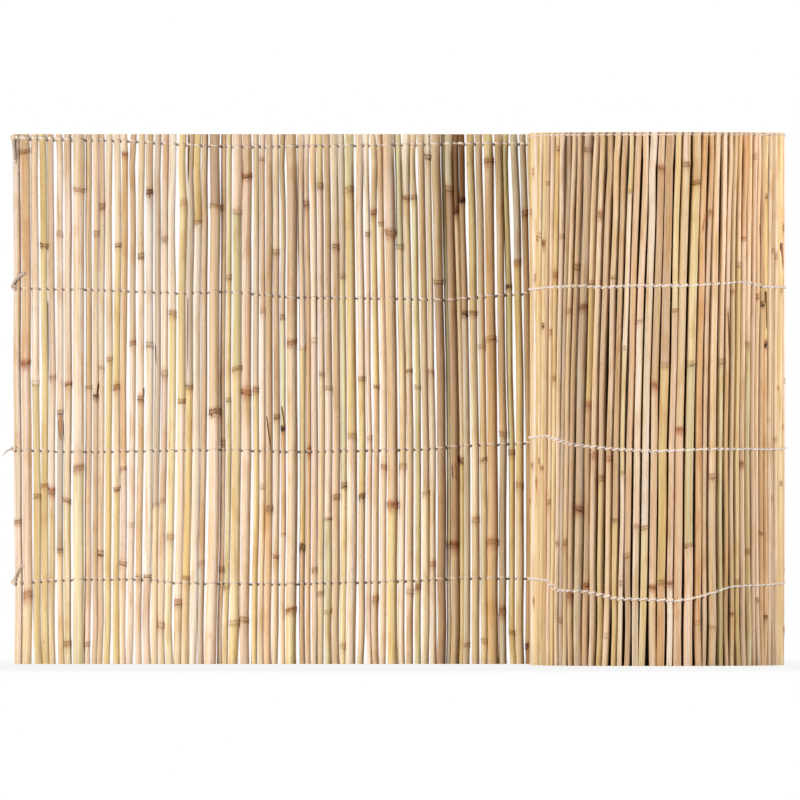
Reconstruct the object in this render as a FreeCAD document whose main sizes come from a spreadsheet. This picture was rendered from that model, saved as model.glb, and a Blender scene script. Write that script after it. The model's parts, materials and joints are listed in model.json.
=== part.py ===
import FreeCAD, Part
import itertools
import math
import os

# Bamboo fence panel, part rolled out: thin canes bound side by side by four rows of twine.
# The panel stands on its sawn cane ends. X runs along the panel, from its free left edge to the roll,
# Y points to the back of the panel and Z runs up the canes. The origin is on the ground, in the middle
# of the panel's bounding box. All sizes are in millimetres.

SIZES = {
    # canes, from saw cut to saw cut, in five thicknesses, and the three gaps left between them
    "panel_height": 500.0,
    "fine_cane": 4.4,
    "medium_cane": 5.2,
    "stout_cane": 6.0,
    "big_cane": 7.8,
    "thick_cane": 9.0,
    "tight_gap": 1.0,
    "close_gap": 1.7,
    "wide_gap": 2.7,
    # how far a cane's head stands to the right of its foot: at the free edge, where the canes lean most
    # towards the roll, and beside the roll
    "edge_lean": -2.7,
    "fan_lean": 5.5,
    "roll_side_lean": -5.2,
    # the swollen ring at a cane's joint
    "joint_swell": 0.35,
    "joint_length": 4.0,
    # rows of twine, the lower two measured from the foot and the upper two from the head
    "foot_to_row_1": 80.0,
    "row_1_to_row_2": 123.0,
    "row_3_to_row_4": 140.0,
    "row_4_to_head": 10.0,
    "twine_thickness": 1.4,
    "twine_width": 2.0,
    "twine_slack": 0.2,
    # the twine's knots and loose tails at the free edge
    "knot_radius": 1.9,
    "tail_radius": 0.8,
    "tail_length": 17.0,
    # the rolled-up rest of the mat: from its axis out to the back of the panel, and in to its hollow core
    "roll_radius": 124.0,
    "core_radius": 20.0,
    "turn_gap": 1.4,
    "valley_depth": 2.2,
    "twine_tuck": 45.0,
}

# Each cane in the order they are bound: a letter for its thickness and a mark for the gap after it.
THICKNESS = {"f": "fine_cane", "m": "medium_cane", "s": "stout_cane", "b": "big_cane", "t": "thick_cane"}
GAP = {"|": "tight_gap", ":": "close_gap", ".": "wide_gap"}
CANES_IN_VIEW = (
    "s: b. s. s| m: m| s. t. m: t. m. m| m. m. m. s: "
    "m: m: s. s| s: s| m. t: f| f: b: b. m| f| s| m: "
    "f: t. m| f| m: m| s| s| m: b. s: f: m: m| t: s: "
    "s: m: s| m| b| f| s| m| m: s. m: b. s. m| s. m|"
)
CANES_BEHIND_ROLL = "s: m| b: m: s| f: m. t| m: s| m: f| s: m: m| m|"

FACETS = 8
KNOT_FACETS = 6
RING_STEPS = 32
INNER_STEPS = 16
# The canes whose lean is given. It changes evenly from one to the next, and the last cane stands upright.
LEANING_CANES = {1: "edge_lean", 19: "fan_lean", 52: "roll_side_lean", 64: "roll_side_lean"}
# The rows from the bottom up, and the way each row's loose tail points, in degrees from +X towards +Z.
TAIL_ANGLES = {"row_1": 65.0, "row_2": 215.0, "row_3": 47.0, "row_4": 270.0}
# Joints wander from cane to cane: the golden ratio never puts two neighbours at one height.
GOLDEN = 0.618034
JOINT_SPANS = (("", "row_1_z"), ("row_1_z", "row_2_z"), ("row_2_z", "row_3_z"), ("row_3_z", "row_4_z"))
NEAREST_TO_TWINE = 0.2

doc = FreeCAD.newDocument("bamboo_fence_panel")


def read_canes(notation):
    """The thickness and gap of each cane, as names in the sheet of sizes."""
    return [(THICKNESS[cane], GAP[gap]) for cane, gap in notation.split()]


def add_sheet(name, cells):
    """A sheet with one named value per line."""
    sheet = doc.addObject("Spreadsheet::Sheet", name)
    for line, (alias, content) in enumerate(cells.items(), start=1):
        sheet.set(f"A{line}", alias)
        sheet.set(f"B{line}", str(content))
        sheet.setAlias(f"B{line}", alias)
    doc.recompute()
    return sheet


def bind(item, expressions):
    """Tie an object's properties to the sheets."""
    for path, expression in expressions.items():
        item.setExpression(path, expression)


def lean_of(number, last):
    """How far a cane leans, worked out between the two nearest canes whose lean is given."""
    given = {at: f"Sizes.{lean}" for at, lean in LEANING_CANES.items()}
    given[last] = "0"
    before = max(at for at in given if at <= number)
    after = min((at for at in given if at > number), default=last)
    share = (number - before) / max(after - before, 1)
    return f"={given[before]} + ({given[after]} - {given[before]}) * {share:.4f}"


def layout_cells(canes):
    """Places worked out from the sizes, each cane one gap to the right of the cane before it."""
    tail_share = max(-math.cos(math.radians(angle)) for angle in TAIL_ANGLES.values())
    cells = {
        "roll_pitch": "=Sizes.stout_cane + Sizes.twine_thickness + Sizes.turn_gap",
        "twine_stand_off": "=Sizes.twine_slack + Sizes.twine_thickness",
        "edge_reach": f"=Sizes.twine_slack + Sizes.knot_radius + Sizes.tail_length * {tail_share:.4f}",
        "row_1_z": "=Sizes.foot_to_row_1",
        "row_2_z": "=row_1_z + Sizes.row_1_to_row_2",
        "row_4_z": "=Sizes.panel_height - Sizes.row_4_to_head",
        "row_3_z": "=row_4_z - Sizes.row_3_to_row_4",
    }
    right_edge = "0"
    for number, (cane, gap) in enumerate(canes, start=1):
        cells[f"cane_{number:02}_lean"] = lean_of(number, len(canes))
        cells[f"cane_{number:02}_along"] = f"={right_edge} + Sizes.{cane} / 2"
        right_edge = f"cane_{number:02}_along + Sizes.{cane} / 2 + Sizes.{gap}"
    cells["wing_length"] = f"={right_edge}"
    cells["left_x"] = "=(edge_reach - wing_length - Sizes.roll_radius + roll_pitch / 4 - twine_stand_off) / 2"
    cells["roll_axis_x"] = "=left_x + wing_length"
    cells["roll_axis_y"] = "=-roll_pitch / 4"
    cells["back_y"] = "=Sizes.roll_radius + roll_axis_y"
    for row in TAIL_ANGLES:
        cells[f"{row}_rise"] = f"=({row}_z - row_2_z) / Sizes.panel_height"
        cells[f"{row}_start_x"] = f"=left_x + cane_01_lean * {row}_rise"
    return cells


def joint_height(number):
    """Where a cane's joint is: somewhere between two rows of twine."""
    place = number * GOLDEN % 1 * len(JOINT_SPANS)
    below, above = JOINT_SPANS[int(place)]
    share = NEAREST_TO_TWINE + (1 - 2 * NEAREST_TO_TWINE) * (place % 1)
    low = f"Layout.{below}" if below else "0"
    return f"{low} + (Layout.{above} - {low}) * {share:.3f}"


def add_cane(number, cane):
    """One cane, lofted from foot to head over its joint. It leans about its place at the second row."""
    joint = joint_height(number)
    sections = {
        "foot": ("0", "0"),
        "under_joint": (f"{joint} - Sizes.joint_length / 2", "0"),
        "joint": (joint, "Sizes.joint_swell"),
        "over_joint": (f"{joint} + Sizes.joint_length / 2", "0"),
        "head": ("Sizes.panel_height", "0"),
    }
    upright_x = f"Layout.left_x + Layout.cane_{number:02}_along"
    half_facet = FreeCAD.Rotation(FreeCAD.Vector(0, 0, 1), 180 / FACETS)
    outlines = []
    for name, (height, swell) in sections.items():
        rise = f"({height} - Layout.row_2_z) / Sizes.panel_height"
        outline = doc.addObject("Part::RegularPolygon", f"cane_{number:02}_{name}")
        outline.Polygon = FACETS
        outline.Placement = FreeCAD.Placement(FreeCAD.Vector(), half_facet)
        bind(outline, {
            "Circumradius": f"(Sizes.{cane} / 2 + {swell}) / cos(180 deg / {FACETS})",
            "Placement.Base.x": f"{upright_x} + Layout.cane_{number:02}_lean * {rise}",
            "Placement.Base.y": f"Layout.back_y - Sizes.{cane} / 2",
            "Placement.Base.z": height,
        })
        outlines.append(outline)
    loft = doc.addObject("Part::Loft", f"cane_{number:02}")
    loft.Sections = outlines
    loft.Solid = True
    loft.Ruled = True
    return loft


def add_cane_pairs(canes):
    """The canes two by two, each cane a solid of its own."""
    lofts = [add_cane(number, cane) for number, (cane, _) in enumerate(canes, start=1)]
    pairs = []
    for first in range(0, len(lofts), 2):
        name = f"canes_{first + 1:02}_{first + 2:02}"
        pair = doc.addObject("Part::Compound", name)
        pair.Links = lofts[first:first + 2]
        pairs.append(pair)
    return pairs


def extruded(points, height):
    """A closed outline in the plane of the ground, pulled up to a height."""
    corners = [FreeCAD.Vector(x, y, 0) for x, y in points]
    outline = Part.makePolygon(corners + corners[:1])
    return Part.Face(outline).extrude(FreeCAD.Vector(0, 0, height))


def add_shape(name, shape, bottom):
    """An object with a worked-out shape, stood at a height that the sheets give."""
    item = doc.addObject("Part::Feature", name)
    item.Shape = shape
    item.Placement = FreeCAD.Placement()
    item.setExpression("Placement.Base.z", bottom)
    return item


def strand_bottom(row):
    return f"Layout.{row}_z - Sizes.twine_width / 2"


def add_back_strand(row):
    """The strand behind the canes, straight because their backs line up."""
    strand = doc.addObject("Part::Box", f"back_strand_{row}")
    bind(strand, {
        "Length": f"Layout.roll_axis_x - Layout.{row}_start_x",
        "Width": "Sizes.twine_thickness",
        "Height": "Sizes.twine_width",
        "Placement.Base.x": f"Layout.{row}_start_x",
        "Placement.Base.y": "Layout.back_y + Sizes.twine_slack",
        "Placement.Base.z": strand_bottom(row),
    })
    return strand


def front_line(row, canes):
    """The line of a taut strand over the canes: at each gap, as far out as the thicker of the two canes."""
    left_x = layout.get("left_x")
    front_y = layout.get("back_y") - sizes.get("twine_slack")
    thicknesses = [sizes.get(cane) for cane, _ in canes]
    gaps = [sizes.get(gap) for _, gap in canes]
    leans = [layout.get(f"cane_{number:02}_lean") for number in range(1, len(canes) + 1)]
    rise = layout.get(f"{row}_rise")
    line = [(layout.get(f"{row}_start_x"), front_y - thicknesses[0])]
    edge = left_x
    for number, gap in enumerate(gaps[:-1]):
        edge += thicknesses[number] + gap
        shift = rise * (leans[number] + leans[number + 1]) / 2
        line.append((edge - gap / 2 + shift, front_y - max(thicknesses[number:number + 2])))
    line.append((layout.get("roll_axis_x"), front_y - thicknesses[-1]))
    bends = [
        here for before, here, after in zip(line, line[1:], line[2:])
        if not before[1] == here[1] == after[1]
    ]
    return [line[0]] + bends + [line[-1]]


def add_front_strand(row, canes):
    """The strand over the front of the canes."""
    line = front_line(row, canes)
    thickness = sizes.get("twine_thickness")
    outside = [(x, y - thickness) for x, y in line]
    shape = extruded(line + outside[::-1], sizes.get("twine_width"))
    return add_shape(f"front_strand_{row}", shape, strand_bottom(row))


def add_end_knot(row, first_cane):
    """The knot that closes a row at the free edge, with the twine's loose tail at its front."""
    knot = doc.addObject("Part::Prism", f"knot_{row}")
    knot.Polygon = KNOT_FACETS
    knot.Placement = FreeCAD.Placement(FreeCAD.Vector(), FreeCAD.Rotation(FreeCAD.Vector(1, 0, 0), 90))
    knot_x = f"Layout.{row}_start_x - Sizes.twine_slack - Sizes.knot_radius"
    row_depth = f"Sizes.{first_cane} + 2 * Layout.twine_stand_off"
    tail_room = "Sizes.twine_slack + Sizes.tail_radius"
    front_y = f"Layout.back_y - Sizes.{first_cane} - Layout.twine_stand_off"
    bind(knot, {
        "Circumradius": "Sizes.knot_radius",
        "Height": f"{row_depth} + {tail_room} + Sizes.tail_radius",
        "Placement.Base.x": knot_x,
        "Placement.Base.y": "Layout.back_y + Layout.twine_stand_off",
        "Placement.Base.z": f"Layout.{row}_z",
    })
    tail = doc.addObject("Part::Prism", f"tail_{row}")
    tail.Polygon = KNOT_FACETS
    lean = FreeCAD.Rotation(FreeCAD.Vector(0, 1, 0), 90 - TAIL_ANGLES[row])
    tail.Placement = FreeCAD.Placement(FreeCAD.Vector(), lean)
    bind(tail, {
        "Circumradius": "Sizes.tail_radius",
        "Height": "Sizes.tail_length",
        "Placement.Base.x": knot_x,
        "Placement.Base.y": f"{front_y} - ({tail_room})",
        "Placement.Base.z": f"Layout.{row}_z",
    })
    end = doc.addObject("Part::Fuse", f"end_knot_{row}")
    end.Base = knot
    end.Tool = tail
    return end


def roll_point(turn, inset):
    """A point of the roll, a number of turns in from the back of the panel and set in towards its axis."""
    angle = 2 * math.pi * turn
    radius = sizes.get("roll_radius") - layout.get("roll_pitch") * turn - inset
    x = layout.get("roll_axis_x") + radius * math.sin(angle)
    y = layout.get("roll_axis_y") + radius * math.cos(angle)
    return x, y


def evenly(first, last, steps_per_turn):
    """Turns from first to last, on an even division of the circle, with both ends."""
    inner = range(math.floor(first * steps_per_turn) + 1, math.ceil(last * steps_per_turn))
    return [first] + [step / steps_per_turn for step in inner] + [last]


def ridge_points(canes):
    """The outer turn: each cane a flat-topped ridge with a valley before it."""
    depth = sizes.get("valley_depth")
    girth = 2 * math.pi * (sizes.get("roll_radius") - layout.get("roll_pitch") / 2)
    points = []
    turn = 0.0
    for cane, gap in itertools.cycle(canes):
        width = sizes.get(cane) / girth
        following = turn + width + sizes.get(gap) / girth
        if following > 1:
            return points, turn
        points.append(roll_point(turn, depth))
        points.append(roll_point(turn + width / 4, 0))
        points.append(roll_point(turn + width * 3 / 4, 0))
        turn = following


def add_rolled_mat(canes):
    """The mat wound on itself: the outer turn has ridges, the turns inside it are plain."""
    thickness = sizes.get("stout_cane")
    turns = (sizes.get("roll_radius") - thickness - sizes.get("core_radius")) / layout.get("roll_pitch")
    ridges, ridged_turns = ridge_points(canes)
    outer = ridges + [roll_point(turn, 0) for turn in evenly(ridged_turns, turns, INNER_STEPS)]
    inner = [roll_point(turn, thickness) for turn in evenly(0, turns, INNER_STEPS)]
    return add_shape("rolled_mat", extruded(outer + inner[::-1], sizes.get("panel_height")), "0")


def add_roll_twine(row):
    """A row of twine round the outside of the roll, as far as the place where the panel covers it."""
    slack = sizes.get("twine_slack")
    thickness = sizes.get("twine_thickness")
    radius = sizes.get("roll_radius")
    covered = sizes.get("twine_tuck") / (2 * math.pi * radius)
    # a straight step would cut into the ridges by this much at its middle
    sagitta = radius / math.cos(math.pi / RING_STEPS) - radius
    turns = evenly(0, 1 - covered, RING_STEPS)
    inside = [roll_point(turn, -slack - sagitta) for turn in turns]
    outside = [roll_point(turn, -slack - sagitta - thickness) for turn in turns]
    shape = extruded(outside + inside[::-1], sizes.get("twine_width"))
    return add_shape(f"roll_twine_{row}", shape, strand_bottom(row))


canes_in_wing = read_canes(CANES_IN_VIEW) + read_canes(CANES_BEHIND_ROLL)
sizes = add_sheet("Sizes", SIZES)
layout = add_sheet("Layout", layout_cells(canes_in_wing))

panel = add_cane_pairs(canes_in_wing)
panel.append(add_rolled_mat(canes_in_wing))
for row in TAIL_ANGLES:
    panel.append(add_front_strand(row, canes_in_wing))
    panel.append(add_back_strand(row))
    panel.append(add_roll_twine(row))
    panel.append(add_end_knot(row, canes_in_wing[0][0]))
doc.recompute()

for item in doc.Objects:
    if {"Invalid", "Error"} & set(item.State):
        raise RuntimeError(f"{item.Label} failed: {item.State}")
for piece in panel:
    if piece.Shape.isNull() or not piece.Shape.isValid():
        raise RuntimeError(f"{piece.Label} has no valid shape")

os.makedirs("parts", exist_ok=True)
for piece in panel:
    piece.Shape.exportStep(f"parts/{piece.Label}.step")
print(f"{len(panel)} sub-parts, wing {layout.get('wing_length'):.1f} mm long")
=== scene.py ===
# %% [markdown]
# # A bamboo fence panel, partly rolled out
# The real object is a screen of thin bamboo canes that four rows of twine hold side by side. One end is
# rolled out flat, which is called the wing below, and the rest is still wound up as a roll in front of it.
# The construction is loaded as a fixed frame first. Everything after that dresses it, in the same metres
# and at the same place, so nothing has to be fitted afterwards.

# %% Load the frame
import json
import math
import random

import bpy
import numpy as np
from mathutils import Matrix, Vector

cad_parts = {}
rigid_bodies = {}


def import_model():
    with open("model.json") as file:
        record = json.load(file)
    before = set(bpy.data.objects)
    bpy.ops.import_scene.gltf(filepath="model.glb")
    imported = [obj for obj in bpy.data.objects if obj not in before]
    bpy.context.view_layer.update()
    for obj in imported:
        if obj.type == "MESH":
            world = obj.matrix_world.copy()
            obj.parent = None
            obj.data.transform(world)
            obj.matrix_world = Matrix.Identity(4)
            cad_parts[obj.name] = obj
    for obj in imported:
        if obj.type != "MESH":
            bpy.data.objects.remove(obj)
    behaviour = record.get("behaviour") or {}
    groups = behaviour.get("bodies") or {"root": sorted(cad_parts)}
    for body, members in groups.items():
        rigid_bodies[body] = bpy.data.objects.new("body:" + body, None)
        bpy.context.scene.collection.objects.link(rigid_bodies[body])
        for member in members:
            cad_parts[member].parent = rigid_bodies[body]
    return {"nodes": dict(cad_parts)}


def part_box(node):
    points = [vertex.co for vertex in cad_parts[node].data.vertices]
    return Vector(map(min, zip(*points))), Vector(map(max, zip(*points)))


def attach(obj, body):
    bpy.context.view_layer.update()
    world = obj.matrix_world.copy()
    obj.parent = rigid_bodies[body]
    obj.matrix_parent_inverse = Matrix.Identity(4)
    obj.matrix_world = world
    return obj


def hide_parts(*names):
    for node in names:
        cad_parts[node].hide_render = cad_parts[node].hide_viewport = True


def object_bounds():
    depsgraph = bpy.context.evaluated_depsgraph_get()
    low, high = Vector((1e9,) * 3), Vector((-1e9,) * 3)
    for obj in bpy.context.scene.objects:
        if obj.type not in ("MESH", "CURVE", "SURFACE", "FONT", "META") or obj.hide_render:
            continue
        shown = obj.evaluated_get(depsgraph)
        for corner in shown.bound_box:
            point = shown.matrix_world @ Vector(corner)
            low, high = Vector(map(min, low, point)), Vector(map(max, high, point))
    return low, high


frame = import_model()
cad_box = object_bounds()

HEIGHT = cad_box[1].z
print("frame:", len(frame["nodes"]), "nodes, canes", round(HEIGHT, 3), "m tall")

# %% [markdown]
# ## Hands
# Operators act on whatever is selected, and loading leaves every node selected. Two small helpers keep the
# hands clean: one lets go of everything, the other picks up just the pieces that the next operator needs.

# %% Hands
def let_go():
    if bpy.context.mode != "OBJECT":
        bpy.ops.object.mode_set(mode="OBJECT")
    bpy.ops.object.select_all(action="DESELECT")


def pick_up(*pieces):
    let_go()
    for piece in pieces:
        piece.select_set(True)
    bpy.context.view_layer.objects.active = pieces[0]


let_go()
print("selected now:", len(bpy.context.selected_objects))

# %% [markdown]
# ## Where the canes stand
# The frame has the canes in pairs, as plain eight-sided bars. The back flats of one pair give four corners
# in a row at the foot and four at the head, and those say where each cane stands, how thick it is and which
# way it leans. Reading them from the frame, instead of writing the places down again, keeps the dressed canes
# on the solids if a size is changed. A cane's place is taken where the second row of twine holds it.

# %% Read the canes from the frame
FLAT_SHARE = math.tan(math.radians(22.5))    # one flat of an eight-sided bar against its thickness
SAME_PLACE = 0.0001
TWIN = 10                     # here the frame has one bar for two thin canes that touch
hold_low, hold_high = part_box("back_strand_row_2")
HOLD = (hold_low.z + hold_high.z) / 2


def corners_of(piece):
    """The corners of a piece as rows of x, y and z."""
    points = np.empty(len(piece.data.vertices) * 3)
    piece.data.vertices.foreach_get("co", points)
    return points.reshape(-1, 3)


def back_corners(name, height):
    """The corners of a pair's back flats at one height, from left to right, and how far back they are."""
    corners = corners_of(frame["nodes"][name])
    level = corners[abs(corners[:, 2] - height) < SAME_PLACE]
    back = level[:, 1].max()
    across = np.sort(level[level[:, 1] > back - SAME_PLACE][:, 0])
    return [x for i, x in enumerate(across) if i == 0 or x - across[i - 1] > SAME_PLACE], back


def read_pair(name):
    foot, back = back_corners(name, 0)
    head, _ = back_corners(name, HEIGHT)
    pair = []
    for one, other in ((0, 1), (2, 3)):
        thick = (foot[other] - foot[one]) / FLAT_SHARE
        foot_x = (foot[one] + foot[other]) / 2
        head_x = (head[one] + head[other]) / 2
        held_x = foot_x + (head_x - foot_x) * HOLD / HEIGHT
        pair.append({"node": name, "x": held_x, "y": back - thick / 2, "thick": thick})
    return pair


pair_nodes = sorted(name for name in frame["nodes"] if name.startswith("canes_"))
wing = [cane for name in pair_nodes for cane in read_pair(name)]
# the letters stand for fine, medium, stout, big and thick
THICKNESS = dict(zip("fmsbt", sorted({round(cane["thick"], 4) for cane in wing})))
LEFT_EDGE = wing[0]["x"] - wing[0]["thick"] / 2
broad = wing[TWIN - 1]
half = broad["thick"] / 2
wing[TWIN - 1:TWIN] = [
    broad | {"x": broad["x"] + side * half / 2, "y": broad["y"] + half / 2, "thick": half} for side in (-1, 1)
]
print(len(wing), "canes from", round(LEFT_EDGE, 4), "thickness", THICKNESS)

# %% [markdown]
# ## Camera
# The photograph looks straight at the panel from far away: the roll stands well in front of the wing, and
# still its head and foot lie level with the wing's. So the camera stands a long way off with a long lens.
# The frame of the picture follows from two places that can be seen in both: the first cane's left side
# and the feet.

# %% Camera
PICTURE_PIXELS = 800
PIXEL = 0.00094               # metres across one pixel, at the panel
FIRST_CANE_PIXEL = 13.4       # left side of the first cane
FOOT_PIXEL = 665              # feet of the canes
CAMERA_DISTANCE = 30.0
SENSOR = 36.0


def pixel_x(across):
    return LEFT_EDGE + (across - FIRST_CANE_PIXEL) * PIXEL


def pixel_z(down):
    return (FOOT_PIXEL - down) * PIXEL


eye = bpy.data.cameras.new("camera")
eye.sensor_width = SENSOR
eye.lens = SENSOR * CAMERA_DISTANCE / (PICTURE_PIXELS * PIXEL)
eye.clip_end = 3 * CAMERA_DISTANCE
camera = bpy.data.objects.new("camera", eye)
bpy.context.scene.collection.objects.link(camera)
middle = PICTURE_PIXELS / 2
camera.location = (pixel_x(middle), -CAMERA_DISTANCE, pixel_z(middle))
camera.rotation_euler = (math.radians(90), 0, 0)
bpy.context.scene.camera = camera
print("camera looks at", round(pixel_x(middle), 4), round(pixel_z(middle), 4), "lens", round(eye.lens))

# %% [markdown]
# ## How the canes lean
# No cane stands quite upright. The first few lean to the left at the head, a quarter of the way along they
# lean to the right, towards the roll to the left again, and on the front of the roll to the right. The twine
# holds them at the second row from the bottom, so the lean is counted from there: how far the head and the
# foot have moved sideways at a few places. In between, the values run evenly from one place to the next.

# %% Lean of the wing and the roll
WING_LEAN_SEEN = (            # pixels across, then how many pixels the head and the foot have moved there
    (13, -2.5, 0.8), (40, -2.2, 0.7), (100, 0.5, -1.4), (180, 1.8, -4.2), (230, 0.0, -3.3),
    (280, -0.9, -1.9), (340, -3.0, -1.0), (400, -4.7, -1.0), (430, -5.9, -0.2), (450, -6.6, -0.1),
    (462, -7.2, 0.0), (470, -6.6, 0.0), (480, -5.6, 0.1), (493, -4.7, 0.1), (503, -5.3, 0.1),
    (512, -6.4, 0.2), (530, -6.0, 0.2), (652, 0.0, 0.0),
)
WING_LEAN = (                 # the same in metres: places, heads and feet
    [pixel_x(across) for across, _, _ in WING_LEAN_SEEN],
    [PIXEL * head for _, head, _ in WING_LEAN_SEEN],
    [PIXEL * foot for _, _, foot in WING_LEAN_SEEN],
)
ROLL_LEAN = (                 # degrees to the right of the front, heads and feet in metres
    (-180, -90, -57, -43, -20, 0, 20, 35, 65, 90, 180),
    (0.0047, 0.005, 0.0066, 0.0105, 0.0095, 0.0075, 0.0072, 0.0055, 0.0047, 0.0045, 0.0047),
    (0.0, -0.003, -0.0035, -0.0032, -0.0026, -0.0027, -0.0007, 0.001, 0.003, 0.002, 0.0),
)
HEAD_BEND = 1.2               # above the twine the lean grows as this power of the height


def lean_at(place, height, leans):
    """How far a cane at this place has moved sideways at a height."""
    places, heads, feet = leans
    above = np.clip((height - HOLD) / (HEIGHT - HOLD), 0, 1)
    below = np.clip((HOLD - height) / HOLD, 0, 1)
    return np.interp(place, places, heads) * above ** HEAD_BEND + np.interp(place, places, feet) * below


print("largest lean of a head on the wing:", round(min(WING_LEAN[1]), 4), "m")

# %% [markdown]
# ## Tones
# Bamboo isn't one colour. Side by side stand pale, straw, yellow, pinkish, greenish, tan and brown canes, and
# the mix is what makes the panel look real. Each tone has a letter, and canes are described by letters below.

# %% Tones
TONES = {
    "w": (241, 229, 212),     # very pale
    "p": (237, 214, 188),     # peach
    "k": (229, 202, 177),     # pink
    "s": (230, 208, 173),     # straw
    "l": (235, 219, 177),     # pale yellow
    "y": (226, 202, 149),     # yellow
    "g": (218, 207, 167),     # green straw
    "t": (214, 186, 153),     # tan
    "o": (222, 186, 147),     # orange tan
    "a": (205, 187, 165),     # ash
    "b": (184, 152, 122),     # brown
    # partly painted shade: besides dark canes, this tone darkens canes that lie in the roll's shade
    "d": (138, 104, 76),      # dark brown
}


def to_linear(colour):
    """Turn a colour as it is written, from 0 to 255, into amounts of light."""
    share = np.array(colour) / 255
    return np.where(share < 0.04045, share / 12.92, ((share + 0.055) / 1.055) ** 2.4)


TONE_LIGHT = {letter: to_linear(colour) for letter, colour in TONES.items()}
print(len(TONES), "tones, peach is", TONE_LIGHT["p"].round(3), "as light")

# %% [markdown]
# ## Each cane as it is seen
# A cane often changes its tone at a joint, and the joints are what the eye follows. So the canes of the wing
# are written down one by one, from the left: the tones from the head to the foot, and then the picture's rows
# at which the joints are seen. A joint with an r is stained reddish and one with a k has black flecks. The
# canes behind the roll get only a tone, and chance gives them their joints.

# %% Canes of the wing
SEEN_CANES = (
    "p 523r / toks 151 364r 597r / py 384 498 / y 246k 487 / kps 379 492r / ppas 235 413 552 / "
    "psl 385 502 646 / spl 190 469r / tkp 389 646 / pst 233 398k / tspt 207 369 555 / py 360 / "
    "sysy 246 388 490 / pokp 154r 470 565 / tp 344 526 / sptp 257 399r 580 / twwk 193k 346 578 / as 506 / "
    "kpkps 240 374 502 627 / wl 314r 539 / yyps 203 402 604 / ays 388 580 / yw 223 / ta 565 / "
    "btp 207 413k / tk 444r 571 / gygl 278 401 589 / kgy 212 370 625 / tkpk 176r 393r 622 / sy 390r / "
    "kops 159 312 488 / to 510 / sts 252 419 558 / agos 318 429k 536 / tsl 343r 612r / pyt 349 549k / "
    "po 204r 452r / pkp 341 572 / yks 186 375 595 / tpg 390 520 613 / st 247r 499 / agl 277 487 648 / "
    "gyp 190 438 / pyt 380 497k / wk 234 439 / syt 213r 387 600r / tp 224 468 / kty 233r 506r / "
    "gsp 247 468 / wst 198r 372 593 / sg 197 388 588r / ts 495 / wsp 157 373 565r / tb 282 / "
    "ga 545k / abt / dsy 213r 461k / dba 201k 314k 647 / ys 314r 521 / ts 348 461 643 / "
    "yo 161r 340 544r / ta / ggy 287k 454 634 / ays 263r 487 / ab 213r 647k"
)
HIDDEN_CANES = "s t y p k s a t s p y t s k p s"


def read_joint(word):
    """Height of a joint and the letter of its mark, if it has one."""
    return pixel_z(int(word.rstrip("rk"))), word.lstrip("0123456789")


def describe(cane, words):
    """Add the tones and joints that the words give."""
    tones, *joints = words.split()
    joints = sorted(read_joint(word) for word in joints)
    return cane | {"tones": tones, "joints": [at for at, _ in joints], "kinds": [kind for _, kind in joints]}


written = SEEN_CANES.split("/") + HIDDEN_CANES.split()
wing = [describe(cane, words) for cane, words in zip(wing, written, strict=True)]

# %% [markdown]
# ## One cane, modelled once
# A bamboo cane is a tube with joints. At a joint there is a narrow groove where the leaf sheath sat, with a
# swollen lip above and below, and between joints the cane is a little slimmer. It could be turned from a
# profile, but pulling a ring upwards by extruding and resizing its edge is how it would be done by hand.
# The ring starts at the bottom of the hollow in the foot, comes out over the sawn end, climbs to the head and
# goes down into the hollow there. A cane has one to four joints over its height, so there are four
# models to copy.

# %% Model the canes with one to four joints
SIDES = 14
MOST_JOINTS = 4
CANE_RADIUS = 0.003
HOLLOW = 0.42                 # hollow against the cane's radius
HOLLOW_DEPTH = 0.006
SAWN_RIM = 0.95               # edge of the sawn face against the cane's radius
RIM_HEIGHT = 0.0003
WAIST = 0.98                  # the cane between two joints against its radius
SMOOTH_ANGLE = math.radians(40)
BEND_STEP = 0.032             # a cane has a ring at least this often, so that it can bend
JOINT_SHAPE = (               # metres above the joint, girth against the plain cane
    (-0.009, 0.99), (-0.0035, 1.0), (-0.0013, 1.05), (-0.0004, 1.065), (0.0, 0.99),
    (0.0005, 1.03), (0.0014, 1.05), (0.0022, 1.07), (0.0032, 1.03), (0.0048, 1.0), (0.009, 0.99),
)
JOINT_REACH = JOINT_SHAPE[-1][0]


def even_joints(count):
    return [HEIGHT * (i + 1) / (count + 1) for i in range(count)]


def pull_up(name, sides, stations):
    """Pull a ring of edges through the stations, each a height and a girth, and close both ends."""
    let_go()
    start, girth = stations[0]
    bpy.ops.mesh.primitive_circle_add(vertices=sides, radius=girth)
    piece = bpy.context.object
    piece.name = name
    bpy.ops.object.mode_set(mode="EDIT")
    bpy.ops.mesh.select_all(action="SELECT")
    bpy.ops.transform.translate(value=(0, 0, start))
    for height, wanted in stations[1:]:
        bpy.ops.mesh.extrude_edges_move(TRANSFORM_OT_translate={"value": (0, 0, height - start)})
        scale = wanted / girth
        bpy.ops.transform.resize(value=(scale, scale, 1), center_override=(0, 0, height))
        start, girth = height, wanted
    bpy.ops.mesh.select_all(action="SELECT")
    bpy.ops.mesh.fill_holes(sides=0)
    bpy.ops.mesh.normals_make_consistent(inside=False)
    bpy.ops.object.mode_set(mode="OBJECT")
    bpy.ops.object.shade_smooth_by_angle(angle=SMOOTH_ANGLE)
    return piece


def plain_stretch(low, high):
    """Stations between two joints, a little slimmer than the joints."""
    count = round((high - low) / BEND_STEP)
    return [(low + (high - low) * (i + 1) / (count + 1), WAIST * CANE_RADIUS) for i in range(count)]


def with_sawn_ends(body, rim, rise):
    """Put the hollow, the sawn face and the rise to the full girth at both ends of a body."""
    foot = [
        (HOLLOW_DEPTH, HOLLOW * CANE_RADIUS),
        (0, HOLLOW * CANE_RADIUS),
        (0, rim * CANE_RADIUS),
        (rise, CANE_RADIUS),
    ]
    head = [(HEIGHT - height, girth) for height, girth in reversed(foot)]
    return foot + body + head


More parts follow.
